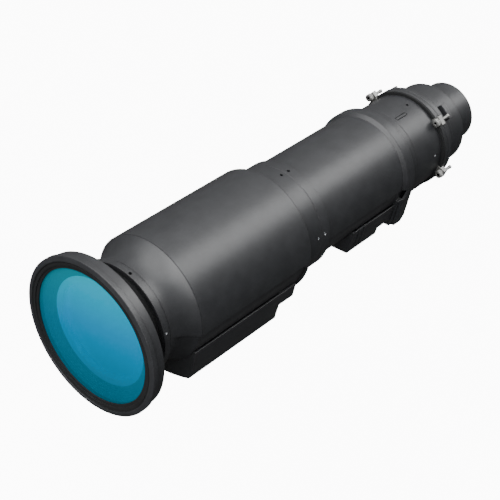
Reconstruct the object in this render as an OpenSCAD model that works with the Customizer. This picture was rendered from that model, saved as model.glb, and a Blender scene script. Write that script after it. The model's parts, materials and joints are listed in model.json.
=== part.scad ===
// Long-throw motorised projection lens.
// The optical axis is Y. The front glass faces -Y, +Z is up, and the origin is
// on the axis at the rear face of the mount flange, which seats on the projector.

/* [Front ring] */
// Diameter of the rim round the front glass
rim_d = 190; // [186:1:200]
// Length of the rim along the axis
rim_len = 7; // [6:0.5:9]
// Diameter of the band behind the rim
band_d = 185; // [183:1:188]
// Length of the band along the axis
band_len = 12; // [11:0.5:14]
// Diameter of the clear opening in front of the glass
aperture_d = 161; // [156:1:163]

/* [Neck and collar] */
// Diameter of the sliding focus tube
focus_tube_d = 122; // [120:1:123]
// Wall of the focus tube
focus_tube_wall = 3.5; // [3:0.5:4.5]
// Open gap between the front ring and the collar
neck_gap = 26; // [20:1:32]
// Diameter of the front collar
collar_d = 136; // [134:1:138]
// Length of the front collar
collar_len = 8; // [7:0.5:9]
// Length of the groove between the collar and the shoulder
collar_groove_len = 4; // [3:0.5:5]

/* [Front barrel] */
// Length of the hollow shoulder
shoulder_len = 33.5; // [30:0.5:38]
// Diameter of the big front barrel
barrel_d = 156.5; // [155:0.5:158]
// Length of the big front barrel behind the shoulder
barrel_len = 184.5; // [180:0.5:195]
// Wall of the front barrel
barrel_wall = 6.25; // [5.5:0.25:6.5]
// Depth of the relief under the side edge of the front barrel
barrel_relief = 3.2; // [2:0.2:3.4]

/* [Middle collars] */
// Diameter of the two middle collars
mid_collar_d = 139; // [138:0.5:141]
// Length of the forward middle collar
mid_collar_front_len = 31.5; // [30:0.5:34]
// Length of the rearward middle collar
mid_collar_rear_len = 14.5; // [13:0.5:17]

/* [Middle barrel] */
// Diameter of the middle barrel
mid_d = 132.8; // [132.4:0.2:133.4]
// Length of the middle barrel
mid_len = 151.5; // [151:0.5:158]
// Wall of the middle barrel
mid_wall = 4.4; // [4:0.2:4.6]
// Depth of the relief under the side edge of the middle barrel
mid_relief = 2; // [1.2:0.2:2.2]
// Diameter of the gear case behind the middle barrel
case_d = 141.6; // [141:0.2:143]
// Length of the gear case
case_len = 19; // [18.5:0.5:21]
// Length of the flare at the front of the gear case
case_flare_len = 4.5; // [3:0.5:5]

/* [Rear tube and flange] */
// Diameter of the rear tube
tube_d = 123; // [122:0.5:123.5]
// Length of the rear tube in front of the flange
tube_len = 72.5; // [70:0.5:80]
// Wall of the rear tube
tube_wall = 4.5; // [4:0.25:5]
// Length of the step at the front of the rear tube
tube_step_len = 17.5; // [15:0.5:20]
// Diameter of the mount flange
flange_d = 131; // [130:0.5:133]
// Length of the mount flange
flange_len = 14.5; // [13:0.5:17]
// Length of the black ring in front of the flange
black_ring_len = 3.5; // [3:0.25:4.5]
// Diameter of the flange screws' heads
screw_head_d = 10; // [9:0.5:10.5]
// Length of the flange screws' heads
screw_head_len = 7; // [6:0.5:8]
// Thread diameter of the flange screws
screw_d = 5; // [4:0.5:6]

/* [Rear barrel and cap] */
// Diameter of the rear barrel
rear_d = 112.8; // [111:0.2:114]
// Length of the rear barrel behind the flange
rear_len = 43; // [38:1:50]
// Height of the two locating lugs over the rear barrel
lug_height = 8; // [6:0.5:9]
// Thickness of the locating lugs along the axis
lug_len = 7; // [5:0.5:9]
// Diameter of the rear cap
cap_d = 84; // [82:1:90]
// Length of the rear cap's first step
cap_step_len = 29; // [26:1:34]
// Length of the rear cap's end ring
cap_end_len = 15; // [13:1:18]

/* [Lower housings] */
// Depth of the front housing's floor below the axis
front_floor_z = 92; // [91:0.5:94]
// Half width of the front housing at its floor
front_floor_half = 57; // [56.4:0.2:60]
// Half width of the front housing where it meets the barrel
front_top_half = 67; // [66:0.5:69]
// Length of the deep part of the front housing
front_deep_len = 147; // [140:1:150]
// Length of the shallow ledge behind the front housing
front_ledge_len = 26; // [20:1:30]
// Depth of the middle housing's floor below the axis
mid_floor_z = 69; // [69:0.25:71]
// Half width of the middle housing at its floor
mid_floor_half = 50; // [49.5:0.5:51]
// Half width of the middle housing where it meets the barrel
mid_top_half = 58; // [57:0.5:60]
// Length of the deep part of the middle housing
mid_deep_len = 58; // [54:1:62]
// Wall of both housings
housing_wall = 2; // [1.6:0.1:2.2]

/* [Zoom drive] */
// Turn of the cam barrel from wide to tele, in degrees
zoom_turn = 40; // [34:1:42]
// Travel of the variator group
variator_travel = 45; // [36:1:46]
// Travel of the compensator group
compensator_travel = 15; // [10:1:16]
// Diameter of the cam rollers
roller_d = 5.4; // [5:0.2:6]

/* [Hidden] */

// Facets of a full turn, used only for previews of round shapes
round_fn = 96;
// Facets of the hulled cam slots
slot_fn = 32;
// How far a cutting shape runs past the surface that it cuts
overrun = 1;
// Radial clearance of a part that turns or slides in another
run_fit = 0.08;
// Radial clearance of a part that is screwed or pressed into another
seat_fit = 0.03;
// Gap left round a part that must not touch
free_gap = 0.4;
// Small edge break on turned parts
edge_break = 0.6;
// Width and depth of a turned seam line
seam_w = 0.8;
seam_depth = 0.5;

// Radii of the main turned parts
rim_r = rim_d / 2;
band_r = band_d / 2;
aperture_r = aperture_d / 2;
focus_r = focus_tube_d / 2;
focus_bore_r = focus_r - focus_tube_wall;
collar_r = collar_d / 2;
barrel_r = barrel_d / 2;
barrel_bore_r = barrel_r - barrel_wall;
barrel_relief_r = barrel_r - barrel_relief;
mid_collar_r = mid_collar_d / 2;
mid_r = mid_d / 2;
mid_bore_r = mid_r - mid_wall;
mid_relief_r = mid_r - mid_relief;
case_r = case_d / 2;
tube_r = tube_d / 2;
tube_bore_r = tube_r - tube_wall;
flange_r = flange_d / 2;
rear_r = rear_d / 2;
cap_r = cap_d / 2;

// Stations along the axis, from the mount flange's rear face towards the front
y_flange = -flange_len;
y_black = y_flange - black_ring_len;
y_tube = y_black - tube_len;
y_case = y_tube - case_len;
y_mid = y_case - mid_len;
y_collar_rear = y_mid - mid_collar_rear_len;
y_collar_front = y_collar_rear - mid_collar_front_len;
y_barrel = y_collar_front - barrel_len;
y_shoulder = y_barrel - shoulder_len;
y_groove = y_shoulder - collar_groove_len;
y_collar = y_groove - collar_len;
y_ring_back = y_collar - neck_gap;
y_rim_back = y_ring_back - band_len;
y_front = y_rim_back - rim_len;
// Stations behind the flange
y_cap = rear_len;
y_cap_end = y_cap + cap_step_len;
y_rear = y_cap_end + cap_end_len;

// Lip of the rim that surrounds the retainer, and the retainer's step
lip_w = 6;
lip_depth = 0.8;
retainer_r = rim_r - lip_w;
retainer_len = 3.2;
retainer_step_w = 3.6;
retainer_step_depth = 1.4;
// Front glass, seated behind the retainer
glass_steps = 10;
glass_edge = 4;
glass_margin = 4.5;
front_glass_r = aperture_r + glass_margin;
front_sag = 2.6;
y_glass = y_front + lip_depth + retainer_len;
y_baffle = y_glass + glass_edge;
// Stepped funnel between the front glass and the second glass
baffle_steps = 7;
baffle_len = 7;
y_baffle_back = y_baffle + baffle_len;
// Second glass, in the mouth of the focus tube
second_r = focus_r + 5.6;
second_edge = 2.6;
second_sag = 4;
baffle_throat_r = second_r - overrun;
mouth_wall = 3;
mouth_r = second_r + mouth_wall;

// Focus drive
focus_travel = 5;
helicoid_turn = 60;
focus_module = 0.9;
focus_pinion_teeth = 24;
spare_teeth = 2.9;
focus_ring_teeth = floor(2 * (barrel_bore_r - free_gap) / focus_module - spare_teeth);
focus_ring_pitch_r = focus_ring_teeth * focus_module / 2;
focus_pinion_pitch_r = focus_pinion_teeth * focus_module / 2;
focus_centre_r = focus_ring_pitch_r + focus_pinion_pitch_r;
focus_angle = -60;
front_wall_len = 4.8;
helicoid_len = 14;
focus_gear_len = 8;
focus_gear_inset = 2;
sector_margin = 6;
y_helicoid = y_barrel + front_wall_len + free_gap;
y_focus_gear = y_helicoid + focus_gear_inset;
y_guide = y_helicoid + helicoid_len + free_gap;
guide_ring_len = 8;
tube_tail = 4;
rear_lens_len = 7;
rear_lens_sag = 2.5;
ring_nut_len = 3;
y_focus_end = y_guide + guide_ring_len + focus_travel + tube_tail;
key_w = 5;
key_depth = 1.2;

// Gear motors and their brackets
motor_r = 5.5;
motor_can_step = 0.4;
motor_can_len = 30;
gearbox_len = 14;
terminal_len = 3;
shaft_r = 1.5;
shaft_grip = 4;
bracket_len = 3;
y_focus_bracket = y_focus_gear + focus_gear_len + overrun;

// Zoom drive
guide_wall = 2.9;
cam_wall = 2.9;
cam_gap = 1.2;
cam_r = mid_bore_r - cam_gap;
cam_bore_r = cam_r - cam_wall;
guide_r = cam_bore_r - run_fit;
guide_bore_r = guide_r - guide_wall;
zoom_module = 0.8;
zoom_angle = -52;
case_wall = 2.8;
case_bore_r = case_r - case_wall;
case_front_wall = 5;
zoom_gear_len = 7;
y_zoom_gear = y_case + case_front_wall + free_gap;
zoom_pinion_teeth = 12;
zoom_ring_teeth = floor(2 * (case_bore_r - free_gap) / zoom_module - spare_teeth);
zoom_ring_pitch_r = zoom_ring_teeth * zoom_module / 2;
zoom_pinion_pitch_r = zoom_pinion_teeth * zoom_module / 2;
zoom_centre_r = zoom_ring_pitch_r + zoom_pinion_pitch_r;
guide_flange_len = 6;
guide_inset = 4;
y_guide_tube = y_mid + guide_inset;
y_cam = y_guide_tube + guide_flange_len + free_gap;
y_tube_flange = y_zoom_gear + zoom_gear_len + free_gap;
guide_seat_len = 2.2;
roller_r = roller_d / 2;
cam_slot_gap = 0.4;
roller_sink = 2.4;
roller_tip_gap = 0.3;
roller_angles = [90, 210, 330];
compensator_shift = 30;
variator_inset = 39;
compensator_inset = 27.5;
y_variator = y_mid + variator_inset;
y_compensator = y_case - compensator_inset;
variator_half = 12;
compensator_half = 10;
cell_wall = 6;
cell_seat = 3;
cell_lip = 3;
cell_r = guide_bore_r - run_fit;
cell_glass_r = cell_r - cell_wall + cell_seat;
variator_sag = 3;
compensator_sag = 3;
lens_edge = 9;
stop_len = 2;
stop_r = 36;
y_stop = y_case - stop_len;

// Shoulder: a hollow cove that leaves the collar along the axis and meets the barrel
collar_groove_depth = 3.4;
shoulder_r = collar_r - collar_groove_depth;
cove_steps = 10;
pocket_wall = 1.6;
pocket_r = focus_r + free_gap + pocket_wall;
cove_rise = barrel_r - shoulder_r;
cove_r = (shoulder_len * shoulder_len / cove_rise + cove_rise) / 2;
cove_angle = asin(shoulder_len / cove_r);

// Side edges of the barrels, below which the reliefs are cut
front_edge_angle = 9;
mid_edge_angle = 9.7;
edge_rise = 10;
front_edge_low = -barrel_r * sin(front_edge_angle);
mid_edge_low = -mid_r * sin(mid_edge_angle);
relief_inset = 2;
relief_round = 12;
case_pocket_len = 9.5;

// Spigot of the middle barrel, under the two middle collars
mid_collar_wall = 4.5;
joint_r = mid_collar_r - mid_collar_wall;
joint_len = 6;

// Lower housings: side walls lean in by this share of their height
lean_share = 0.25;
front_chamfer = 2.5;
mid_chamfer = 2;
front_belly_rise = 9.4;
front_corner_z = front_floor_z - front_belly_rise;
front_belly_half = front_floor_half - front_chamfer;
front_belly_r = (front_belly_half * front_belly_half / front_belly_rise
    + front_belly_rise) / 2;
front_ledge_z = 62;
y_front_deep = y_barrel + front_deep_len;
y_front_ledge = y_front_deep + front_ledge_len;
mid_shallow_z = 60;
mid_housing_inset = 64;
y_mid_deep = y_mid + mid_housing_inset;
y_mid_shallow = y_mid_deep + mid_deep_len;
case_block_half = 54;
case_block_z = 70.5;
case_knee_half = 59.4;
case_knee_z = 58;
case_block_angle = 9;
side_groove_w = 1.6;
side_groove_depth = 0.8;
side_groove_offsets = [11, 21];
hood_screw_r = 2;
hood_head_r = 3.6;
hood_head_len = 2.2;
hood_boss_r = 5.6;
hood_sink = 1;
screw_x_share = 0.3;
front_screw_shares = [0.3, 0.85];
mid_screw_shares = [0.15, 0.85];
front_screw_x = front_floor_half * screw_x_share;
mid_screw_x = mid_floor_half * screw_x_share;
front_head_z = -front_floor_z + front_screw_x * front_screw_x / (2 * front_belly_r)
    + hood_sink + hood_head_len;
mid_head_z = -mid_floor_z + hood_sink + hood_head_len;

// Set screws
set_r = 2;
set_socket_r = 1.1;
set_len = 2.4;
top_sink = 1.6;
side_sink = 0.15;
collar_screw_angles = [10, 75, 170, 250];
ring_screw_angles = [4, 80, 176, 260];
tube_screw_angles = [4, 78, 176];
collar_screw_inset = 3.5;
mid_front_screw_inset = 6.5;
mid_rear_screw_inset = 6;
tube_screw_inset = 13.5;

// Rear tube
tube_step = 1;
slot_angle = 69;
slot_w = 5.2;
slot_len = 23;
slot_depth = 0.8;
slot_inset = 4;
spigot_wall = 2;
spigot_r = tube_bore_r + spigot_wall;
spigot_len = 6;
relay_len = 46;
relay_inset = 12;
relay_wall = 6;
relay_seat = 3;
relay_sag = 3;
cover_wall = 3.2;
cover_angle = 80;
cover_inset = 1;

// Flange screws and their clips, two above and two below the middle
screw_angles = [40, 140, -23, 203];
screw_r = screw_d / 2;
screw_head_r = screw_head_d / 2;
screw_gap = 2.8;
screw_ring_r = tube_r + screw_head_r + screw_gap;
shank_drop = 0.4;
screw_shank_r = screw_r - shank_drop;
clip_hole_r = screw_r - shank_drop / 2;
thread_start = 0.5;
thread_len = 3.5;
socket_r = 2.9;
socket_depth = 3;
clip_len = 6.5;
clip_w = 12;
clip_sink = 1;
clip_wall = 1.4;
clip_inner_r = tube_r - clip_sink;
clip_outer_r = screw_ring_r + screw_r + clip_wall;
flange_seam_inset = 6;

// Rear barrel, lugs and cap
rear_wall = 5;
rear_land_drop = 1;
lug_w = 21;
lug_inset = 10;
lug_angles = [45, 135];
cap_wall = 6;
cap_rib = 3;
cap_drop = 1.2;
cap_bore_r = cap_r - cap_wall;
cap_glass_wall = 2.5;
cap_glass_r = cap_r - cap_drop - cap_glass_wall;
cap_glass_len = 8;
cap_glass_sag = 2;
cap_nut_lip = 2.5;
y_cap_glass = y_rear - ring_nut_len - cap_glass_len;

// Colours
paint = "#3a3b3d";
black = "#161718";
plastic = "#2c2d2f";
steel = "#c9ccd0";
brass = "#c2a15a";
glass = [0.2, 0.75, 0.85, 0.5];

// A solid of revolution about the optical axis, from [radius, station] points
module turned(points) {
    rotate([90, 0, 0]) rotate_extrude($fn = round_fn) polygon([for (p = points) [p[0], -p[1]]]);
}

// A plain ring about the axis
module ring(y0, y1, inner_r, outer_r) {
    turned([[inner_r, y0], [outer_r, y0], [outer_r, y1], [inner_r, y1]]);
}

// A plain disc about the axis
module disc(y0, y1, r) {
    translate([0, y0, 0]) rotate([-90, 0, 0]) cylinder(r = r, h = y1 - y0, $fn = round_fn);
}

// Turns the children about the axis so that +X goes to the given clock angle
module clock(angle) {
    rotate([0, -angle, 0]) children();
}

// A radial cylinder at one clock angle, from one radius to another
module radial_pin(y, angle, r, inner_r, outer_r, fn = round_fn) {
    clock(angle) translate([inner_r, y, 0]) rotate([0, 90, 0])
        cylinder(r = r, h = outer_r - inner_r, $fn = fn);
}

// A straight slot along the axis, cut radially with round ends
module radial_slot(y0, y1, angle, r, inner_r, outer_r) {
    radial_pin(y0, angle, r, inner_r, outer_r);
    radial_pin(y1, angle, r, inner_r, outer_r);
    clock(angle) translate([inner_r, y0, -r]) cube([outer_r - inner_r, y1 - y0, 2 * r]);
}

// A cylinder parallel to the axis, off it by a radius at a clock angle
module off_axis(y0, y1, centre_r, angle, r, fn = round_fn) {
    clock(angle) translate([centre_r, min(y0, y1), 0]) rotate([-90, 0, 0])
        cylinder(r = r, h = abs(y1 - y0), $fn = fn);
}

// A wedge about the axis that spans so many degrees round a clock angle
module sector(y0, y1, angle, span, reach) {
    translate([0, y1, 0]) rotate([90, 0, 0]) linear_extrude(y1 - y0)
        polygon(concat([[0, 0]], [for (k = [-2:2]) let (a = angle + k * span / 4)
            reach * [cos(a), sin(a)]]));
}

// A glass element with a flat rim. A face bulges out where its sag is positive,
// else it is hollow.
module element(y0, y1, r, edge_r, sag0, sag1) {
    front = [for (k = [0:glass_steps]) let (t = k / glass_steps)
        [r * t, y0 - sag0 * (1 - t * t)]];
    back = [for (k = [glass_steps:-1:0]) let (t = k / glass_steps)
        [r * t, y1 + sag1 * (1 - t * t)]];
    color(glass) turned(concat(front, [[edge_r, y0], [edge_r, y1]], back));
}

// Corners of one gear tooth: [share of the pitch, share of the module]
tooth_shape = [[-0.33, -1.25], [-0.1, 0.95], [0.1, 0.95], [0.33, -1.25]];
function tooth(angle, pitch_r, size, step) = [for (c = tooth_shape)
    (pitch_r + c[1] * size) * [cos(angle + c[0] * step), sin(angle + c[0] * step)]];

// A gear sector about the axis, with one tooth centred on the clock angle
module gear_sector(y0, y1, teeth, size, inner_r, angle, low, high) {
    step = 360 / teeth;
    inner = [for (k = [0:12]) let (a = high + (low - high) * k / 12)
        inner_r * [cos(a), sin(a)]];
    outline = [for (k = [ceil((low - angle) / step):floor((high - angle) / step)])
        each tooth(angle + k * step, teeth * size / 2, size, step)];
    translate([0, y1, 0]) rotate([90, 0, 0]) linear_extrude(y1 - y0)
        polygon(concat(outline, inner));
}

// A whole pinion on its shaft, with a tooth gap centred on the clock angle
module pinion(y0, y1, teeth, size, centre_r, angle, shaft_y0, shaft_y1) {
    step = 360 / teeth;
    outline = [for (k = [0:teeth - 1])
        each tooth(angle + 180 + (k + 0.5) * step, teeth * size / 2, size, step)];
    translate([centre_r * cos(angle), y1, centre_r * sin(angle)]) rotate([90, 0, 0])
        linear_extrude(y1 - y0) polygon(outline);
    off_axis(shaft_y0, shaft_y1, centre_r, angle, shaft_r);
}

// A set screw in a radial hole, with its head below the surface by a depth
function sink(angle) = angle > 45 && angle < 135 ? top_sink : side_sink;
module set_screw(y, angle, surface_r) {
    top = surface_r - sink(angle);
    difference() {
        radial_pin(y, angle, set_r - seat_fit, top - set_len, top);
        radial_pin(y, angle, set_socket_r, top - set_len / 2, top + overrun, 6);
    }
}
module set_hole(y, angle, surface_r) {
    radial_pin(y, angle, set_r, surface_r - sink(angle) - set_len, surface_r + overrun);
}

// Front ring, glass and focus tube, which slide together

module front_ring() {
    color(paint) turned([
        [retainer_r, y_front], [rim_r - edge_break, y_front], [rim_r, y_front + edge_break],
        [rim_r, y_rim_back - edge_break], [rim_r - edge_break, y_rim_back],
        [band_r, y_rim_back], [band_r, y_ring_back - edge_break],
        [band_r - edge_break, y_ring_back], [mouth_r, y_ring_back],
        [mouth_r, y_baffle_back], [front_glass_r + seat_fit, y_baffle_back],
        [front_glass_r + seat_fit, y_glass], [retainer_r, y_glass]]);
}

module front_retainer() {
    outer = retainer_r - seat_fit;
    face = y_front + lip_depth;
    color(black) turned([
        [outer, face], [outer, y_glass], [aperture_r, y_glass],
        [aperture_r, face + retainer_step_depth],
        [aperture_r + retainer_step_w, face + retainer_step_depth],
        [aperture_r + retainer_step_w, face]]);
}

module front_element() {
    element(y_glass, y_baffle, aperture_r - free_gap, front_glass_r, front_sag, -front_sag);
}

// Stepped funnel: each step is one shallow groove of the light baffle
module baffle_cone() {
    fall = (aperture_r - baffle_throat_r) / baffle_steps;
    rise = baffle_len / baffle_steps;
    stairs = [for (k = [0:baffle_steps - 1]) each [
        [aperture_r - k * fall, y_baffle + k * rise],
        [aperture_r - k * fall, y_baffle + (k + 1) * rise]]];
    color(black) turned(concat([[front_glass_r, y_baffle]], stairs,
        [[baffle_throat_r, y_baffle_back], [front_glass_r, y_baffle_back]]));
}

module second_element() {
    element(y_baffle_back, y_baffle_back + second_edge, baffle_throat_r - free_gap,
        second_r - seat_fit, second_sag, -second_sag / 2);
}

module focus_tube() {
    seat = y_baffle_back + second_edge;
    glass_r = focus_bore_r + focus_tube_wall / 2;
    nut = y_focus_end - ring_nut_len - rear_lens_len;
    color(black) difference() {
        turned([
            [second_r, y_baffle_back], [mouth_r - seat_fit, y_baffle_back],
            [mouth_r - seat_fit, y_ring_back], [focus_r, y_ring_back],
            [focus_r, y_focus_end], [glass_r, y_focus_end], [glass_r, nut],
            [focus_bore_r, nut], [focus_bore_r, seat], [second_r, seat]]);
        translate([-key_w / 2 - run_fit, y_guide - focus_travel - overrun,
            focus_r - key_depth - free_gap])
            cube([key_w + 2 * run_fit, y_focus_end - y_guide + focus_travel + 2 * overrun,
                key_depth + free_gap + overrun]);
    }
}

module focus_rear_element() {
    y1 = y_focus_end - ring_nut_len;
    element(y1 - rear_lens_len, y1, focus_bore_r - free_gap,
        focus_bore_r + focus_tube_wall / 2 - seat_fit, -rear_lens_sag, -rear_lens_sag);
}

module focus_rear_retainer() {
    r = focus_bore_r + focus_tube_wall / 2 - seat_fit;
    color(black) ring(y_focus_end - ring_nut_len, y_focus_end, r - focus_tube_wall, r);
}

// Front collar and front barrel

module front_collar() {
    color(paint) difference() {
        turned([
            [focus_r + run_fit, y_collar], [collar_r - edge_break, y_collar],
            [collar_r, y_collar + edge_break], [collar_r, y_groove - edge_break],
            [collar_r - edge_break, y_groove], [shoulder_r, y_groove],
            [shoulder_r, y_shoulder], [focus_r + run_fit, y_shoulder]]);
        for (a = collar_screw_angles) set_hole(y_collar + collar_screw_inset, a, collar_r);
    }
}

module collar_set_screws() {
    color(steel) for (a = collar_screw_angles)
        set_screw(y_collar + collar_screw_inset, a, collar_r);
}

// Outline of the shoulder, moved in by a depth
function shoulder_points(depth = 0) = [for (k = [0:cove_steps])
    let (a = cove_angle * k / cove_steps)
    [max(shoulder_r + cove_r * (1 - cos(a)) - depth, pocket_r),
        y_shoulder + cove_r * sin(a)]];

// Everything below a barrel's side edge, seen from the side
module below_edge(points, half) {
    translate([-half, 0, 0]) rotate([90, 0, 90]) linear_extrude(2 * half) polygon(points);
}

module front_barrel() {
    low = front_edge_low;
    y_end = y_collar_front - relief_inset;
    front = y_shoulder + collar_groove_len;
    reach = barrel_r + overrun;
    bore = barrel_bore_r;
    y_bore = y_barrel + front_wall_len;
    y_back = y_collar_front - joint_len;
    color(paint) difference() {
        turned(concat(shoulder_points(), [
            [barrel_r, y_collar_front - edge_break], [barrel_r - edge_break, y_collar_front],
            [joint_r + seat_fit, y_collar_front], [joint_r + seat_fit, y_back],
            [bore, y_back], [bore, y_bore], [focus_r + free_gap, y_bore],
            [focus_r + free_gap, y_shoulder]]));
        ring(y_barrel, y_barrel + seam_w, barrel_r - seam_depth, barrel_r + overrun);
        difference() {
            below_edge(concat([[front, low + edge_rise], [y_barrel, low]],
                [for (k = [0:4]) let (a = 90 - 22.5 * k)
                    [y_end - relief_round * (1 - cos(a)), low - relief_round * (1 - sin(a))]],
                [[y_end, -reach], [front, -reach]]), reach);
            turned(concat([[0, y_shoulder - overrun], [pocket_r, y_shoulder - overrun]],
                shoulder_points(barrel_relief),
                [[barrel_relief_r, y_collar_front + overrun], [0, y_collar_front + overrun]]));
        }
        off_axis(y_focus_gear - overrun, y_focus_bracket, focus_centre_r, focus_angle,
            focus_pinion_pitch_r + focus_module + free_gap);
        for (s = front_screw_shares, x = [-front_screw_x, front_screw_x])
            translate([x, y_barrel + s * front_deep_len, -barrel_r])
                cylinder(r = hood_screw_r, h = barrel_r - bore + barrel_wall, $fn = round_fn);
    }
}

// Focus drive inside the front barrel

module focus_guide_ring() {
    color(brass) union() {
        ring(y_guide, y_guide + guide_ring_len, focus_r + run_fit, barrel_bore_r - seat_fit);
        translate([-key_w / 2, y_guide, focus_r - key_depth])
            cube([key_w, guide_ring_len, key_depth + overrun]);
    }
}

// Turning ring whose lead moves the focus tube, with its gear sector
module focus_helicoid() {
    reach = helicoid_turn + sector_margin;
    color(brass) union() {
        ring(y_helicoid, y_helicoid + helicoid_len, focus_r + run_fit,
            focus_ring_pitch_r - 2 * focus_module);
        gear_sector(y_focus_gear, y_focus_gear + focus_gear_len, focus_ring_teeth,
            focus_module, focus_ring_pitch_r - 4 * focus_module, focus_angle,
            focus_angle - reach, focus_angle + reach);
    }
}

// Gear motor along the axis; way is 1 where the can lies behind the gearbox
module gear_motor(y, way, centre_r, angle) {
    can = y + way * gearbox_len;
    end = can + way * motor_can_len;
    difference() {
        union() {
            off_axis(y, can, centre_r, angle, motor_r);
            off_axis(can, end, centre_r, angle, motor_r - motor_can_step);
            off_axis(end, end + way * terminal_len, centre_r, angle, motor_r / 2);
        }
        off_axis(y - way * overrun, y + way * (shaft_grip + free_gap), centre_r, angle,
            shaft_r + run_fit);
    }
}

// Plate that holds a gear motor to a barrel
module motor_bracket(y, centre_r, angle, seat_r) {
    difference() {
        union() {
            off_axis(y, y + bracket_len, centre_r, angle, motor_r);
            clock(angle) translate([seat_r - motor_r, y, -motor_r])
                cube([centre_r - seat_r + motor_r, bracket_len, 2 * motor_r]);
        }
        disc(y - overrun, y + bracket_len + overrun, seat_r);
        off_axis(y - overrun, y + bracket_len + overrun, centre_r, angle, shaft_r + free_gap);
    }
}

module focus_motor() {
    color(steel) gear_motor(y_focus_bracket + bracket_len, 1, focus_centre_r, focus_angle);
}

module focus_motor_bracket() {
    color(paint) motor_bracket(y_focus_bracket, focus_centre_r, focus_angle, barrel_relief_r);
}

module focus_pinion() {
    color(brass) pinion(y_focus_gear, y_focus_gear + focus_gear_len, focus_pinion_teeth,
        focus_module, focus_centre_r, focus_angle, y_focus_gear,
        y_focus_bracket + bracket_len + shaft_grip);
}

// Lower housings

// Section of a saddle: leaning sides from the top edge to a chamfered floor
module saddle(y0, y1, top_half, floor_half, floor_z, chamfer) {
    top_z = floor_z - chamfer - (top_half - floor_half) / lean_share;
    side = [[top_half, -top_z], [floor_half, chamfer - floor_z],
        [floor_half - chamfer, -floor_z]];
    other = [for (k = [2:-1:0]) [-side[k][0], side[k][1]]];
    translate([0, y1, 0]) rotate([90, 0, 0]) linear_extrude(y1 - y0)
        polygon(concat(side, other));
}

// Shallow belly under the front housing's floor
module front_belly(y0, y1, inset) {
    half = front_belly_half;
    intersection() {
        translate([0, y0, front_belly_r - front_floor_z]) rotate([-90, 0, 0])
            cylinder(r = front_belly_r - inset, h = y1 - y0, $fn = round_fn);
        translate([-half, y0, -front_floor_z - overrun])
            cube([2 * half, y1 - y0, front_belly_rise + inset + 2 * overrun]);
    }
}

// Holes for one row of housing screws: shank and counterbore from below
module hood_holes(x, y, head_z) {
    translate([x, y, head_z - overrun])
        cylinder(r = hood_screw_r + free_gap, h = front_floor_z, $fn = round_fn);
    translate([x, y, -2 * front_floor_z])
        cylinder(r = hood_head_r + free_gap, h = 2 * front_floor_z + head_z, $fn = round_fn);
}

module front_housing() {
    w = housing_wall;
    y0 = y_barrel + seam_w;
    ledge_half = front_floor_half + (front_corner_z - front_ledge_z) * lean_share;
    color(plastic) difference() {
        union() {
            saddle(y0, y_front_deep, front_top_half, front_floor_half, front_corner_z,
                front_chamfer);
            front_belly(y0, y_front_deep, 0);
            saddle(y_front_deep - w, y_front_ledge, front_top_half, ledge_half,
                front_ledge_z, front_chamfer);
        }
        difference() {
            union() {
                saddle(y0 + w, y_front_deep - w, front_top_half - w, front_floor_half - w,
                    front_corner_z - w, front_chamfer);
                front_belly(y0 + w, y_front_deep - w, w);
            }
            for (s = front_screw_shares, x = [-front_screw_x, front_screw_x])
                translate([x, y_barrel + s * front_deep_len, -front_floor_z])
                    cylinder(r = hood_boss_r, h = front_floor_z, $fn = round_fn);
        }
        disc(y_barrel, y_front_ledge + overrun, barrel_relief_r);
        for (s = front_screw_shares, x = [-front_screw_x, front_screw_x])
            hood_holes(x, y_barrel + s * front_deep_len, front_head_z);
    }
}

// Socket screw that points up, with its head's upper face at the given height
module hood_screw(x, y, head_z, top_z) {
    translate([x, y, 0]) difference() {
        union() {
            translate([0, 0, head_z - hood_head_len])
                cylinder(r = hood_head_r, h = hood_head_len, $fn = round_fn);
            translate([0, 0, head_z - overrun])
                cylinder(r = hood_screw_r - seat_fit, h = top_z - head_z + overrun,
                    $fn = round_fn);
        }
        translate([0, 0, head_z - hood_head_len - overrun])
            cylinder(r = hood_screw_r, h = hood_head_len / 2 + overrun, $fn = 6);
    }
}

module front_housing_screws() {
    color(steel) for (s = front_screw_shares, x = [-front_screw_x, front_screw_x])
        hood_screw(x, y_barrel + s * front_deep_len, front_head_z,
            free_gap - barrel_bore_r * cos(asin(front_screw_x / barrel_bore_r)) - overrun);
}

module mid_housing() {
    w = housing_wall;
    shallow_half = mid_floor_half + (mid_floor_z - mid_shallow_z) * lean_share;
    color(plastic) difference() {
        union() {
            saddle(y_mid_deep, y_mid_shallow, mid_top_half, mid_floor_half, mid_floor_z,
                mid_chamfer);
            saddle(y_mid_shallow - w, y_case, mid_top_half, shallow_half, mid_shallow_z,
                mid_chamfer);
        }
        difference() {
            union() {
                saddle(y_mid_deep + w, y_mid_shallow - w, mid_top_half - w,
                    mid_floor_half - w, mid_floor_z - w, mid_chamfer);
                saddle(y_mid_shallow - w - overrun, y_case + overrun, mid_top_half - w,
                    shallow_half - w, mid_shallow_z - w, mid_chamfer);
            }
            for (s = mid_screw_shares, x = [-mid_screw_x, mid_screw_x])
                translate([x, y_mid_deep + s * mid_deep_len, -mid_floor_z])
                    cylinder(r = hood_boss_r, h = mid_floor_z, $fn = round_fn);
        }
        disc(y_mid_deep - overrun, y_case + overrun, mid_relief_r);
        for (s = mid_screw_shares, x = [-mid_screw_x, mid_screw_x])
            hood_holes(x, y_mid_deep + s * mid_deep_len, mid_head_z);
        for (g = side_groove_offsets, side = [0, 1]) mirror([side, 0, 0])
            translate([mid_floor_half, y_mid_deep + g, -mid_floor_z - overrun])
                rotate([0, atan(lean_share), 0]) translate([-side_groove_depth, 0, 0])
                    cube([mid_floor_half, side_groove_w, mid_floor_z]);
    }
}

module mid_housing_screws() {
    color(steel) for (s = mid_screw_shares, x = [-mid_screw_x, mid_screw_x])
        hood_screw(x, y_mid_deep + s * mid_deep_len, mid_head_z,
            -mid_bore_r * cos(asin(mid_screw_x / mid_bore_r)) - free_gap);
}

// Middle collars, middle barrel and gear case

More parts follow.
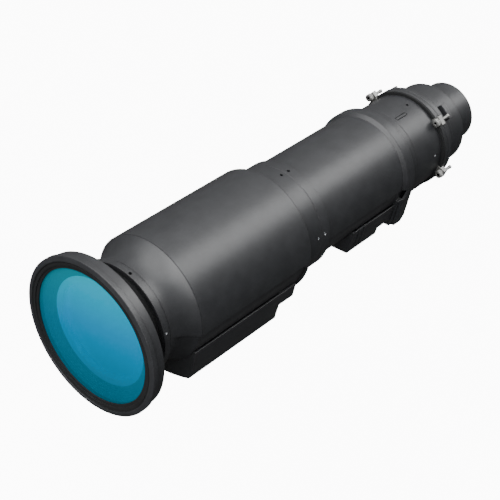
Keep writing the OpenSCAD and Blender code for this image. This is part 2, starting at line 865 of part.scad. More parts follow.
module middle_collar(y0, y1, screw_y) {
    color(paint) difference() {
        turned([
            [joint_r + seat_fit, y0], [mid_collar_r - edge_break, y0],
            [mid_collar_r, y0 + edge_break], [mid_collar_r, y1 - edge_break],
            [mid_collar_r - edge_break, y1], [joint_r + seat_fit, y1]]);
        for (a = ring_screw_angles) set_hole(screw_y, a, mid_collar_r);
    }
}

module middle_collar_front() {
    middle_collar(y_collar_front, y_collar_rear, y_collar_rear - mid_front_screw_inset);
}

module middle_collar_rear() {
    middle_collar(y_collar_rear, y_mid, y_collar_rear + mid_rear_screw_inset);
}

module middle_set_screws() {
    color(steel) for (a = ring_screw_angles,
        y = [y_collar_rear - mid_front_screw_inset, y_collar_rear + mid_rear_screw_inset])
        set_screw(y, a, mid_collar_r);
}

module mid_barrel() {
    reach = mid_r + overrun;
    front = y_mid + relief_inset;
    back = y_case + overrun;
    color(paint) difference() {
        turned([
            [mid_bore_r, y_collar_front - joint_len], [joint_r, y_collar_front - joint_len],
            [joint_r, y_mid], [mid_r - edge_break, y_mid], [mid_r, y_mid + edge_break],
            [mid_r, y_case], [mid_bore_r, y_case]]);
        difference() {
            below_edge([[front, mid_edge_low], [back, mid_edge_low], [back, -reach],
                [front, -reach]], reach);
            disc(y_mid, y_case + 2 * overrun, mid_relief_r);
        }
        for (s = mid_screw_shares, x = [-mid_screw_x, mid_screw_x])
            translate([x, y_mid_deep + s * mid_deep_len, -mid_r])
                cylinder(r = hood_screw_r, h = mid_r - mid_bore_r + mid_wall, $fn = round_fn);
    }
}

// Block under the gear case: its sides leave the round case, lean in and turn
// down to the floor at a knee
module case_block(y0, y1, inset) {
    top_r = case_r - inset;
    side = [[top_r * cos(case_block_angle), -top_r * sin(case_block_angle)],
        [case_knee_half - inset, -case_knee_z], [case_block_half - inset, -case_block_z]];
    other = [for (k = [2:-1:0]) [-side[k][0], side[k][1]]];
    translate([0, y1, 0]) rotate([90, 0, 0]) linear_extrude(y1 - y0)
        polygon(concat(side, other));
}

module gear_case() {
    reach = case_r + overrun;
    flare = y_case + case_flare_len;
    back = y_case + case_pocket_len;
    low = mid_edge_low;
    pocket_y = y_case + case_front_wall;
    pocket_r = zoom_pinion_pitch_r + zoom_module + free_gap;
    color(paint) difference() {
        union() {
            turned([
                [cam_r + free_gap, y_case], [mid_r, y_case], [case_r, flare],
                [case_r, y_tube - edge_break], [case_r - edge_break, y_tube],
                [cam_r + free_gap, y_tube]]);
            difference() {
                union() {
                    case_block(y_case, flare, case_r - mid_r);
                    case_block(flare, y_tube, 0);
                }
                disc(y_case - overrun, y_tube + overrun, cam_r + free_gap);
            }
        }
        disc(pocket_y, y_tube + overrun, case_bore_r);
        difference() {
            below_edge([[y_case - overrun, low], [back, low], [back - 0.4 * case_pocket_len,
                2.2 * low], [y_case, 2.7 * low], [y_case - overrun, 2.7 * low]], reach);
            disc(y_case - 2 * overrun, y_tube, mid_relief_r);
        }
        off_axis(y_case - overrun, y_zoom_gear + zoom_gear_len + overrun, zoom_centre_r,
            zoom_angle, pocket_r);
        off_axis(y_case, y_zoom_gear + zoom_gear_len + 2 * overrun + bracket_len,
            zoom_centre_r, zoom_angle, shaft_r + run_fit);
    }
}

// Zoom drive inside the middle barrel

module zoom_guide_tube() {
    r = roller_r + run_fit;
    y_end = y_tube_flange + guide_seat_len;
    color(paint) difference() {
        turned([
            [guide_bore_r, y_guide_tube], [mid_bore_r - seat_fit, y_guide_tube],
            [mid_bore_r - seat_fit, y_guide_tube + guide_flange_len],
            [guide_r, y_guide_tube + guide_flange_len], [guide_r, y_end],
            [guide_bore_r, y_end]]);
        for (a = roller_angles) {
            radial_slot(y_variator, y_variator + variator_travel, a, r,
                guide_bore_r - overrun, guide_r + overrun);
            radial_slot(y_compensator - compensator_travel, y_compensator,
                a + compensator_shift, r, guide_bore_r - overrun, guide_r + overrun);
        }
    }
}

// A cam slot: one hull between two radial pins, long enough to clear the curved wall
module cam_slot(y0, y1, angle) {
    r = roller_r + cam_slot_gap;
    reach = (cam_r + overrun) / cos(zoom_turn / 2);
    hull() {
        radial_pin(y0, angle, r, cam_bore_r - overrun, reach, slot_fn);
        radial_pin(y1, angle + zoom_turn, r, cam_bore_r - overrun, reach, slot_fn);
    }
}

module zoom_cam_barrel() {
    color(paint) difference() {
        union() {
            ring(y_cam, y_zoom_gear + zoom_gear_len, cam_bore_r, cam_r);
            ring(y_zoom_gear, y_zoom_gear + zoom_gear_len, cam_bore_r,
                zoom_ring_pitch_r - 2 * zoom_module);
            gear_sector(y_zoom_gear, y_zoom_gear + zoom_gear_len, zoom_ring_teeth,
                zoom_module, zoom_ring_pitch_r - 4 * zoom_module, zoom_angle,
                zoom_angle - sector_margin, zoom_angle + zoom_turn + sector_margin);
        }
        for (a = roller_angles) {
            cam_slot(y_variator, y_variator + variator_travel, a);
            cam_slot(y_compensator, y_compensator - compensator_travel,
                a + compensator_shift);
        }
    }
}

module zoom_motor() {
    y = y_mid_shallow - housing_wall - bracket_len - overrun;
    color(steel) gear_motor(y, -1, zoom_centre_r, zoom_angle);
}

module zoom_motor_bracket() {
    color(paint) motor_bracket(y_mid_shallow - housing_wall - bracket_len - overrun,
        zoom_centre_r, zoom_angle, mid_relief_r);
}

module zoom_pinion() {
    color(brass) pinion(y_zoom_gear, y_zoom_gear + zoom_gear_len, zoom_pinion_teeth,
        zoom_module, zoom_centre_r, zoom_angle,
        y_mid_shallow - housing_wall - bracket_len - overrun - shaft_grip,
        y_zoom_gear + zoom_gear_len + overrun + bracket_len);
}

// A lens cell that slides in the guide tube, bored for its glass and rollers
module cell(y, half, shift) {
    color(paint) difference() {
        turned([
            [cell_glass_r, y - half], [cell_r, y - half], [cell_r, y + half],
            [cell_glass_r - cell_seat, y + half], [cell_glass_r - cell_seat,
                y + half - cell_lip], [cell_glass_r, y + half - cell_lip]]);
        for (a = roller_angles)
            radial_pin(y, a + shift, roller_r, cell_r - roller_sink, cell_r + overrun);
    }
}

module rollers(y, shift) {
    color(steel) for (a = roller_angles)
        radial_pin(y, a + shift, roller_r - seat_fit, cell_r - roller_sink,
            cam_r - roller_tip_gap);
}

module variator_cell() { cell(y_variator, variator_half, 0); }

module variator_element() {
    y1 = y_variator + variator_half - cell_lip;
    element(y1 - lens_edge, y1, cell_glass_r - cell_seat - free_gap, cell_glass_r - seat_fit,
        -variator_sag, -variator_sag);
}

module variator_rollers() { rollers(y_variator, 0); }

module compensator_cell() { cell(y_compensator, compensator_half, compensator_shift); }

module compensator_element() {
    y1 = y_compensator + compensator_half - cell_lip;
    element(y1 - lens_edge, y1, cell_glass_r - cell_seat - free_gap, cell_glass_r - seat_fit,
        compensator_sag, compensator_sag);
}

module compensator_rollers() { rollers(y_compensator, compensator_shift); }

module aperture_stop() {
    color(black) ring(y_stop, y_stop + stop_len, stop_r, guide_bore_r - seat_fit);
}

// Rear tube, its ring nut and the relay glass

module rear_tube() {
    step_r = tube_r + tube_step;
    step_end = y_tube + tube_step_len;
    y_slot = step_end + slot_inset + slot_w / 2;
    y_nut = y_tube - ring_nut_len;
    color(paint) difference() {
        turned([
            [guide_r + seat_fit, y_tube_flange], [case_bore_r - seat_fit, y_tube_flange],
            [case_bore_r - seat_fit, y_nut], [step_r, y_nut], [step_r, step_end - edge_break],
            [step_r - edge_break, step_end], [tube_r, step_end], [tube_r, y_black],
            [spigot_r, y_black], [spigot_r, y_flange + spigot_len],
            [tube_bore_r, y_flange + spigot_len], [tube_bore_r, y_tube_flange
                + guide_seat_len], [guide_r + seat_fit, y_tube_flange + guide_seat_len]]);
        radial_slot(y_slot, y_slot + slot_len - slot_w, slot_angle, slot_w / 2,
            tube_r - slot_depth, tube_r + overrun);
        for (a = tube_screw_angles) set_hole(y_black - tube_screw_inset, a, tube_r);
    }
}

module tube_ring_nut() {
    color(paint) ring(y_tube - ring_nut_len, y_tube, tube_r + tube_step + seat_fit,
        case_bore_r - seat_fit);
}

module tube_set_screws() {
    color(steel) for (a = tube_screw_angles) set_screw(y_black - tube_screw_inset, a, tube_r);
}

module relay_cell() {
    y0 = y_tube + relay_inset;
    r = tube_bore_r - seat_fit;
    color(black) turned([
        [r - relay_wall + relay_seat, y0], [r, y0], [r, y0 + relay_len],
        [r - relay_wall, y0 + relay_len], [r - relay_wall, y0 + relay_len - cell_lip],
        [r - relay_wall + relay_seat, y0 + relay_len - cell_lip]]);
}

module relay_element() {
    y1 = y_tube + relay_inset + relay_len - cell_lip;
    outer = tube_bore_r - 2 * seat_fit - relay_wall + relay_seat;
    element(y1 - lens_edge, y1, outer - relay_seat - free_gap, outer, relay_sag, relay_sag);
}

module harness_cover() {
    y0 = y_tube + tube_step_len;
    y1 = y_black - cover_inset;
    color(plastic) intersection() {
        ring(y0, y1, tube_r, tube_r + cover_wall);
        sector(y0 - overrun, y1 + overrun, -90, cover_angle, 2 * tube_r);
    }
}

// Mount flange, clip blocks and captive screws

// One slot for a clip block in each of the four places
module clip_slots(fit) {
    for (a = screw_angles) clock(a) translate([clip_inner_r, y_black - overrun,
        -clip_w / 2 - fit])
        cube([flange_r, clip_len + overrun, clip_w + 2 * fit]);
}

module black_ring() {
    color(black) difference() {
        ring(y_black, y_flange, spigot_r + seat_fit, flange_r);
        clip_slots(seat_fit);
    }
}

module mount_flange() {
    step = y_flange + spigot_len;
    color(paint) difference() {
        turned([
            [spigot_r + seat_fit, y_flange], [flange_r, y_flange], [flange_r, -edge_break],
            [flange_r - edge_break, 0], [rear_r + seat_fit, 0], [rear_r + seat_fit, step],
            [spigot_r + seat_fit, step]]);
        ring(y_flange + flange_seam_inset, y_flange + flange_seam_inset + seam_w,
            flange_r - seam_depth, flange_r + overrun);
        clip_slots(seat_fit);
    }
}

// Four clip blocks let into the black ring and the flange, each bored for one screw
module screw_clips() {
    color(steel) for (a = screw_angles) difference() {
        clock(a) translate([clip_inner_r + seat_fit, y_black, -clip_w / 2])
            cube([clip_outer_r - clip_inner_r - seat_fit, clip_len - seat_fit, clip_w]);
        off_axis(y_black - overrun, y_black + clip_len + overrun, screw_ring_r, a,
            clip_hole_r);
    }
}

// Captive screw: its thinner shank runs in the clip block, which the thread can't pass
module captive_screw(angle) {
    head = y_black - seat_fit - screw_head_len;
    color(steel) difference() {
        union() {
            off_axis(head, head + screw_head_len, screw_ring_r, angle, screw_head_r);
            off_axis(head + overrun, thread_start + overrun, screw_ring_r, angle,
                screw_shank_r);
            off_axis(thread_start, thread_start + thread_len, screw_ring_r, angle, screw_r);
        }
        off_axis(head - overrun, head + socket_depth, screw_ring_r, angle, socket_r, 6);
    }
}

module captive_screw_1() { captive_screw(screw_angles[0]); }
module captive_screw_2() { captive_screw(screw_angles[1]); }
module captive_screw_3() { captive_screw(screw_angles[2]); }
module captive_screw_4() { captive_screw(screw_angles[3]); }

// Rear barrel, cap and rear glass

module rear_barrel() {
    inner = rear_r - rear_wall;
    land_r = rear_r - rear_land_drop;
    y_wall = y_cap - rear_wall;
    y_land = lug_inset + lug_len;
    color(paint) difference() {
        union() {
            turned([
                [inner, y_flange + spigot_len], [rear_r, y_flange + spigot_len],
                [rear_r, y_land], [land_r, y_land],
                [land_r, y_cap - edge_break], [land_r - edge_break, y_cap],
                [cap_r + seat_fit, y_cap], [cap_r + seat_fit, y_wall], [inner, y_wall]]);
            intersection() {
                ring(lug_inset, lug_inset + lug_len, rear_r - overrun, rear_r + lug_height);
                for (a = lug_angles) clock(a) translate([0, lug_inset, -lug_w / 2])
                    cube([rear_r + 2 * lug_height, lug_len, lug_w]);
            }
        }
    }
}

module rear_cap() {
    y_wall = y_cap - rear_wall;
    end_r = cap_r - cap_drop;
    color(paint) turned([
        [cap_bore_r, y_wall - cap_rib], [cap_r + cap_rib, y_wall - cap_rib],
        [cap_r + cap_rib, y_wall], [cap_r, y_wall], [cap_r, y_cap_end - edge_break],
        [cap_r - edge_break, y_cap_end], [end_r, y_cap_end], [end_r, y_rear - edge_break],
        [end_r - edge_break, y_rear], [cap_glass_r, y_rear], [cap_glass_r, y_cap_glass],
        [cap_bore_r, y_cap_glass]]);
}

module rear_element() {
    element(y_cap_glass, y_cap_glass + cap_glass_len, cap_bore_r - free_gap,
        cap_glass_r - seat_fit, cap_glass_sag, cap_glass_sag);
}

module rear_retainer() {
    color(black) ring(y_rear - ring_nut_len, y_rear, cap_glass_r - cap_nut_lip,
        cap_glass_r - seat_fit);
}

front_ring();
front_retainer();
front_element();
baffle_cone();
second_element();
focus_tube();
focus_rear_element();
focus_rear_retainer();
front_collar();
collar_set_screws();
front_barrel();
focus_guide_ring();
focus_helicoid();
focus_motor();
focus_motor_bracket();
focus_pinion();
front_housing();
front_housing_screws();
middle_collar_front();
middle_collar_rear();
middle_set_screws();
mid_barrel();
gear_case();
mid_housing();
mid_housing_screws();
zoom_guide_tube();
zoom_cam_barrel();
zoom_motor();
zoom_motor_bracket();
zoom_pinion();
variator_cell();
variator_element();
variator_rollers();
compensator_cell();
compensator_element();
compensator_rollers();
aperture_stop();
rear_tube();
tube_ring_nut();
tube_set_screws();
relay_cell();
relay_element();
harness_cover();
black_ring();
mount_flange();
screw_clips();
captive_screw_1();
captive_screw_2();
captive_screw_3();
captive_screw_4();
rear_barrel();
rear_cap();
rear_retainer();
rear_element();
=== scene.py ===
import json
import math

import bmesh
import bpy
from mathutils import Matrix, Vector


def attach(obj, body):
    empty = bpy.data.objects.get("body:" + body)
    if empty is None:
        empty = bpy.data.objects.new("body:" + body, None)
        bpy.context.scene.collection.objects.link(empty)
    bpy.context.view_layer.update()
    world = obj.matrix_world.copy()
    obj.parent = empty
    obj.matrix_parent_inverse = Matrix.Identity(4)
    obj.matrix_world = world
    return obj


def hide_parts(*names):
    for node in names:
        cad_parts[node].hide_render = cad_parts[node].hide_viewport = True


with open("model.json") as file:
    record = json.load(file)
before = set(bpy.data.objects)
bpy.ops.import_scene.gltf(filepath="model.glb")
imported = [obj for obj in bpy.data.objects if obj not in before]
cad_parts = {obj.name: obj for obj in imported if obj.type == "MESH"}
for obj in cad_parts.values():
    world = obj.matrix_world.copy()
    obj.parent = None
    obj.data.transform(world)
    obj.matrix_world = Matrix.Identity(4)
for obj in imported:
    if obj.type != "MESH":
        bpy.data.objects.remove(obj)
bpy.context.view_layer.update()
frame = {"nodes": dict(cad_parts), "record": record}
mm = 0.001

# stations along the optical axis in mm, measured from the flange's seating face
stops = {
    "front": -582, "rimBack": -575, "ringBack": -563, "collar": -537, "groove": -529,
    "shoulder": -525, "barrel": -491.5, "barrelEnd": -307, "collarSeam": -275.5,
    "mid": -261, "case": -109.5, "tube": -90.5, "tubeStep": -73, "blackRing": -18,
    "flange": -14.5, "capStep": 72, "rear": 87,
}


# ---- materials

def srgb(hexColour, alpha=1.0):
    parts = [int(hexColour[i:i + 2], 16) / 255 for i in (1, 3, 5)]
    return [c / 12.92 if c <= 0.04045 else ((c + 0.055) / 1.055) ** 2.4 for c in parts] + [alpha]


def addNode(tree, kind, values=None, links=None, **settings):
    node = tree.nodes.new(kind)
    for key, value in settings.items():
        setattr(node, key, value)
    for socket, value in (values or {}).items():
        node.inputs[socket].default_value = value
    for socket, source in (links or {}).items():
        tree.links.new(source, node.inputs[socket])
    return node


def newMaterial(name):
    material = bpy.data.materials.new(name)
    material.use_nodes = True
    material.node_tree.nodes.clear()
    return material, material.node_tree


def finishMaterial(tree, shader):
    addNode(tree, "ShaderNodeOutputMaterial", links={"Surface": shader.outputs[0]})


def grainNoise(tree, sizeMm, detail=3.0):
    place = addNode(tree, "ShaderNodeTexCoord")
    return addNode(tree, "ShaderNodeTexNoise",
                   values={"Scale": 1 / (sizeMm * mm), "Detail": detail, "Roughness": 0.6},
                   links={"Vector": place.outputs["Object"]})


def remap(tree, source, low, high):
    return addNode(tree, "ShaderNodeMapRange",
                   values={"From Min": 0.3, "From Max": 0.7, "To Min": low, "To Max": high},
                   links={"Value": source})


def tint(tree, source, dark, light):
    ramp = addNode(tree, "ShaderNodeValToRGB", links={"Fac": source})
    ramp.color_ramp.elements[0].position = 0.3
    ramp.color_ramp.elements[0].color = srgb(dark)
    ramp.color_ramp.elements[1].position = 0.7
    ramp.color_ramp.elements[1].color = srgb(light)
    return ramp


def coatedMetal(name, dark, light, roughness, grainMm, bumpMm, specular=0.5):
    # paint or plastic: cloudy tone, a fine skin and a little bump, no metal shows through
    material, tree = newMaterial(name)
    clouds = grainNoise(tree, 18)
    grain = grainNoise(tree, grainMm)
    bump = addNode(tree, "ShaderNodeBump", values={"Strength": 0.35, "Distance": bumpMm * mm},
                   links={"Height": grain.outputs["Fac"]})
    tone = tint(tree, clouds.outputs["Fac"], dark, light)
    shader = addNode(tree, "ShaderNodeBsdfPrincipled",
                     values={"IOR": 1.5, "Specular IOR Level": specular},
                     links={"Base Color": tone.outputs[0],
                            "Roughness": remap(tree, grain.outputs["Fac"], roughness - 0.04,
                                               roughness + 0.04).outputs[0],
                            "Normal": bump.outputs[0]})
    finishMaterial(tree, shader)
    return material


def bareMetal(name, dark, light, roughness, lineMm):
    # turned metal: fine rings round the optical axis, a little lighter and darker
    material, tree = newMaterial(name)
    place = addNode(tree, "ShaderNodeTexCoord")
    rings = addNode(tree, "ShaderNodeMapping", values={"Scale": (0.02, 1 / (lineMm * mm), 0.02)},
                    links={"Vector": place.outputs["Object"]})
    lines = addNode(tree, "ShaderNodeTexNoise", values={"Scale": 1.0, "Detail": 2.0},
                    links={"Vector": rings.outputs[0]})
    bump = addNode(tree, "ShaderNodeBump", values={"Strength": 0.2, "Distance": 0.02 * mm},
                   links={"Height": lines.outputs["Fac"]})
    shader = addNode(tree, "ShaderNodeBsdfPrincipled", values={"Metallic": 1.0},
                     links={"Base Color": tint(tree, lines.outputs["Fac"], dark, light).outputs[0],
                            "Roughness": remap(tree, lines.outputs["Fac"], roughness - 0.05,
                                               roughness + 0.08).outputs[0],
                            "Normal": bump.outputs[0]})
    finishMaterial(tree, shader)
    return material


# up and the reach set the direction and span of the painted top light on the glass colour
glassCoatAndPaintedLight = {"up": (-0.1, 0, 0.99), "paintedLightReachMm": 80, "roughness": 0.1, "coatRoughness": 0.03,
             "coatWeight": 0.3, "through": "#8cf4ff"}


def coatedGlassWithPaintedLight(name, paintedLitTones, glow, clear):
    # optical glass with a cyan coating and painted light: the colour is painted brighter towards
    # the top as a painted highlight from a high soft light, and a painted glow (emission) makes
    # the glass shine though it is no lamp
    material, tree = newMaterial(name)
    place = addNode(tree, "ShaderNodeTexCoord")
    height = addNode(tree, "ShaderNodeVectorMath", operation="DOT_PRODUCT",
                     values={1: glassCoatAndPaintedLight["up"]}, links={0: place.outputs["Object"]})
    reach = glassCoatAndPaintedLight["paintedLightReachMm"] * mm
    paintedLightShare = addNode(tree, "ShaderNodeMapRange",
                    values={"From Min": -reach, "From Max": reach},
                    links={"Value": height.outputs["Value"]})
    # the coating colour runs from dark at the bottom to bright at the top: painted shade and
    # painted highlight
    ramp = addNode(tree, "ShaderNodeValToRGB", links={"Fac": paintedLightShare.outputs[0]})
    ramp.color_ramp.elements[0].color = srgb(paintedLitTones[0])
    ramp.color_ramp.elements[1].color = srgb(paintedLitTones[-1])
    for k, tone in enumerate(paintedLitTones[1:-1], 1):
        ramp.color_ramp.elements.new(k / (len(paintedLitTones) - 1)).color = srgb(tone)
    # the emission is a painted glow on glass that is no lamp
    skin = addNode(tree, "ShaderNodeBsdfPrincipled",
                   values={"Roughness": glassCoatAndPaintedLight["roughness"], "IOR": 1.52,
                           "Coat Weight": glassCoatAndPaintedLight["coatWeight"],
                           "Coat Roughness": glassCoatAndPaintedLight["coatRoughness"],
                           "Emission Strength": glow},
                   links={"Base Color": ramp.outputs[0], "Emission Color": ramp.outputs[0]})
    see = addNode(tree, "ShaderNodeBsdfTransparent",
                  values={"Color": srgb(glassCoatAndPaintedLight["through"])})
    mix = addNode(tree, "ShaderNodeMixShader", values={0: clear},
                  links={1: skin.outputs[0], 2: see.outputs[0]})
    finishMaterial(tree, mix)
    return material


# baked enamel on turned aluminium: a soft sheen along the barrels
satinEnamel = coatedMetal("satinBlackEnamel", "#1d1e20", "#242527", 0.42, 0.9, 0.03)
# sprayed flat paint inside the light path: nearly no sheen
flatBlack = coatedMetal("flatBlackPaint", "#0d0e0f", "#131415", 0.75, 0.6, 0.03, 0.25)
# anodised after turning, a little paler, so its grooves show through the glass
greyBaffle = coatedMetal("greyAnodisedBaffle", "#383b3e", "#424548", 0.55, 0.6, 0.03)
# moulded housings: a fine spark texture that looks duller than the enamel
mouldedAbs = coatedMetal("mouldedBlackAbs", "#1a1b1d", "#202123", 0.5, 0.7, 0.05)
# turned and knurled steel: grey with a broad soft shine
turnedSteel = bareMetal("turnedSteel", "#787876", "#a6a6a4", 0.5, 0.25)
# zinc plate on the small grub screws: one bright point each
brightZinc = bareMetal("brightZincPlatedSteel", "#b4b8bc", "#dfe2e4", 0.28, 0.25)
# dark steel colour in the sockets and on the grub screws deep in their holes: painted shade for a
# dark hole
holePaintedShade = bareMetal("holePaintedShadeSteel", "#08090a", "#101112", 0.5, 0.25)
# brass rollers, pinions and helicoid inside the lens
turnedBrass = bareMetal("turnedBrass", "#a4834a", "#d0ae6c", 0.3, 0.3)
# anodised cells and tubes inside the lens
darkAnodised = bareMetal("darkAnodisedAluminium", "#26282b", "#3a3c40", 0.4, 0.3)
# multi-layer coating: teal at the edge, and clear enough to show the glass behind it; painted
# brighter towards the top, with a painted glow
tealGlass = coatedGlassWithPaintedLight("tealCoatedFrontGlass", ["#005a6e", "#006880", "#007c88"], 0.5, 0.62)
# the coating on the inner glass is bluer; its painted top light spans a wider range and its
# painted glow is stronger
innerGlass = coatedGlassWithPaintedLight("cyanCoatedInnerGlass", ["#005466", "#0088b4", "#00d2d4"], 0.85, 0.08)

finishes = {
    "satin_black_paint": satinEnamel, "matte_black_paint": flatBlack,
    "moulded_plastic": mouldedAbs, "bright_steel": turnedSteel, "brass_parts": turnedBrass,
    "anodised_alloy": darkAnodised, "coated_glass": tealGlass, "inner_glass": innerGlass,
}
slotOf = {part["node"]: part["material_slot"] for part in frame["record"]["subparts"]}
for node, thing in frame["nodes"].items():
    thing.data.materials.clear()
    thing.data.materials.append(finishes[slotOf[node]])
print("materials made:", len(finishes))


# ---- mesh helpers

def addPiece(name, bm, body, node, sharpAngle=35):
    # turns a bmesh into a smooth piece that stands for a CAD node
    bmesh.ops.remove_doubles(bm, verts=bm.verts, dist=1e-6)
    bmesh.ops.recalc_face_normals(bm, faces=bm.faces)
    limit = math.radians(sharpAngle)
    for face in bm.faces:
        face.smooth = True
    for edge in bm.edges:
        edge.smooth = len(edge.link_faces) != 2 or edge.calc_face_angle(0) < limit
    mesh = bpy.data.meshes.new(name)
    bm.to_mesh(mesh)
    bm.free()
    piece = bpy.data.objects.new(name, mesh)
    bpy.context.scene.collection.objects.link(piece)
    mesh.materials.append(finishes[slotOf[node]])
    weigh = piece.modifiers.new("evenShade", "WEIGHTED_NORMAL")
    weigh.keep_sharp = True
    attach(piece, body)
    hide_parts(node)
    return piece


def softened(points, radius, steps=3):
    # rounds every corner of a closed outline, as far as its sides allow
    result = []
    count = len(points)
    for i, here in enumerate(points):
        before = Vector(points[i - 1]) - Vector(here)
        after = Vector(points[(i + 1) % count]) - Vector(here)
        turn = math.pi - before.angle(after)
        cut = min(radius * math.tan(turn / 2), before.length * 0.4, after.length * 0.4)
        if turn < math.radians(12):
            result.append(tuple(here))
            continue
        start = Vector(here) + before.normalized() * cut
        end = Vector(here) + after.normalized() * cut
        for k in range(steps + 1):
            t = k / steps
            point = start * (1 - t) ** 2 + Vector(here) * 2 * t * (1 - t) + end * t * t
            result.append(tuple(point))
    return result


def bridge(bm, rows, closed=True):
    # joins rows of points that go round the axis into one skin
    loops = [[bm.verts.new(point) for point in row] for row in rows]
    size = len(loops[0])
    pairs = zip(loops, loops[1:] + loops[:1]) if closed else zip(loops, loops[1:])
    for first, second in pairs:
        for i in range(size):
            j = (i + 1) % size
            bm.faces.new((first[i], first[j], second[j], second[i]))


def turnedRows(outline, segments=192):
    return [[(r * mm * math.cos(a), y * mm, r * mm * math.sin(a))
             for a in (2 * math.pi * k / segments for k in range(segments))]
            for r, y in outline]


def turnedMesh(outline, segments=192, edge=0.5):
    # a solid of revolution from a closed outline of (radius, station) in mm
    bm = bmesh.new()
    bridge(bm, turnedRows(softened(outline, edge) if edge else outline, segments))
    bmesh.ops.remove_doubles(bm, verts=bm.verts, dist=1e-7)
    bad = [f for f in bm.faces if f.calc_area() < 1e-14]
    bmesh.ops.delete(bm, geom=bad, context="FACES_ONLY")
    return bm


def ringPiece(name, outline, body, node, edge=0.5, segments=192):
    return addPiece(name, turnedMesh(outline, segments, edge), body, node)


def cutterObject(bm):
    bmesh.ops.recalc_face_normals(bm, faces=bm.faces)
    mesh = bpy.data.meshes.new("cutter")
    bm.to_mesh(mesh)
    bm.free()
    thing = bpy.data.objects.new("cutter", mesh)
    bpy.context.scene.collection.objects.link(thing)
    return thing


def cutAway(piece, cutters):
    # cuts holes into a piece and keeps the result as plain mesh
    for cutter in cutters:
        step = piece.modifiers.new("cut", "BOOLEAN")
        step.object = cutter
        step.operation = "DIFFERENCE"
        step.solver = "EXACT"
        bpy.context.view_layer.update()
        graph = bpy.context.evaluated_depsgraph_get()
        shade = piece.modifiers["evenShade"]
        shade.show_viewport = False
        graph.update()
        mesh = bpy.data.meshes.new_from_object(piece.evaluated_get(graph))
        shade.show_viewport = True
        piece.modifiers.remove(step)
        old = piece.data
        piece.data = mesh
        bpy.data.meshes.remove(old)
        bpy.data.objects.remove(cutter)
    markSharp(piece.data)


def markSharp(mesh, sharpAngle=35):
    bm = bmesh.new()
    bm.from_mesh(mesh)
    for edge in bm.edges:
        edge.smooth = (len(edge.link_faces) == 2
                       and edge.calc_face_angle(0) < math.radians(sharpAngle))
    for face in bm.faces:
        face.smooth = True
    bm.to_mesh(mesh)
    bm.free()


def rod(bm, start, end, radius, sides=32):
    # a closed cylinder between two points in mm
    axis = Vector(end) - Vector(start)
    turn = axis.to_track_quat("Z", "Y").to_matrix().to_4x4()
    middle = (Vector(start) + Vector(end)) * 0.5 * mm
    bmesh.ops.create_cone(bm, cap_ends=True, segments=sides, radius1=radius * mm,
                          radius2=radius * mm, depth=axis.length * mm,
                          matrix=Matrix.Translation(middle) @ turn)


def around(radius, angle, y):
    return (radius * math.cos(math.radians(angle)), y, radius * math.sin(math.radians(angle)))


def radialCutter(y, angle, radius, inner, outer, sides=32):
    bm = bmesh.new()
    rod(bm, around(inner, angle, y), around(outer, angle, y), radius, sides)
    return cutterObject(bm)


def refined(name, node, body, width):
    # the CAD shape with merged faces and small rounded edges
    bm = bmesh.new()
    bm.from_mesh(frame["nodes"][node].data)
    bm.transform(frame["nodes"][node].matrix_world)
    bmesh.ops.remove_doubles(bm, verts=bm.verts, dist=2e-6)
    bmesh.ops.dissolve_limit(bm, angle_limit=math.radians(0.6), verts=bm.verts, edges=bm.edges)
    piece = addPiece(name, bm, body, node)
    bevel = piece.modifiers.new("softEdges", "BEVEL")
    bevel.width = width * mm
    bevel.segments = 2
    bevel.limit_method = "ANGLE"
    bevel.angle_limit = math.radians(38)
    bevel.use_clamp_overlap = False
    piece.modifiers.move(1, 0)
    return piece


# ---- front group: ring, retainer, glass, baffle and the sliding tube

frontRing = {"rimRadius": 95, "bandRadius": 92.5, "bore": 89, "glassSeat": 85.03,
             "mouthRadius": 69.6, "lipDepth": 4, "baffleBack": -567, "faceFall": 1.2, "seam": 1.0}


def makeFrontRing():
    d = frontRing
    ringPiece("frontRing", [
        (d["bore"], stops["front"]), (d["bore"] + 1, stops["front"]),
        (d["rimRadius"], stops["front"] + d["faceFall"]), (d["rimRadius"], stops["rimBack"]),
        (d["bandRadius"] - d["seam"], stops["rimBack"]),
        (d["bandRadius"] - d["seam"], stops["rimBack"] + d["seam"]),
        (d["bandRadius"], stops["rimBack"] + d["seam"]),
        (d["bandRadius"], stops["ringBack"]), (d["mouthRadius"], stops["ringBack"]),
        (d["mouthRadius"], d["baffleBack"]), (d["glassSeat"], d["baffleBack"]),
        (d["glassSeat"], stops["front"] + d["lipDepth"]),
        (d["bore"], stops["front"] + d["lipDepth"])], "focus_group", "front_ring", 0.6, 256)


retainer = {"outer": 88.97, "inner": 80.5, "face": -581.2, "back": -578,
            "stepRadius": 84.1, "stepDepth": 1.4, "grooveRadius": 87.2, "grooveDepth": 0.5,
            "grooveFloor": 0.5, "grooveSide": 0.2}


def makeRetainer():
    d = retainer
    groove, side = d["grooveRadius"], d["grooveSide"]
    ringPiece("glassRetainer", [
        (d["outer"], d["face"]), (d["outer"], d["back"]), (d["inner"], d["back"]),
        (d["inner"], d["face"] + d["stepDepth"]), (d["stepRadius"], d["face"] + d["stepDepth"]),
        (d["stepRadius"], d["face"]), (groove, d["face"]),
        (groove + side, d["face"] + d["grooveDepth"]),
        (groove + side + d["grooveFloor"], d["face"] + d["grooveDepth"]),
        (groove + 2 * side + d["grooveFloor"], d["face"])],
        "focus_group", "front_retainer", 0.15, 256)


def lensOutline(y0, y1, bulge, edge, sagFront, sagBack, steps=24):
    front = [(bulge * k / steps, y0 - sagFront * (1 - (k / steps) ** 2))
             for k in range(steps + 1)]
    back = [(bulge * k / steps, y1 + sagBack * (1 - (k / steps) ** 2))
            for k in range(steps, -1, -1)]
    return front + [(edge, y0), (edge, y1)] + back


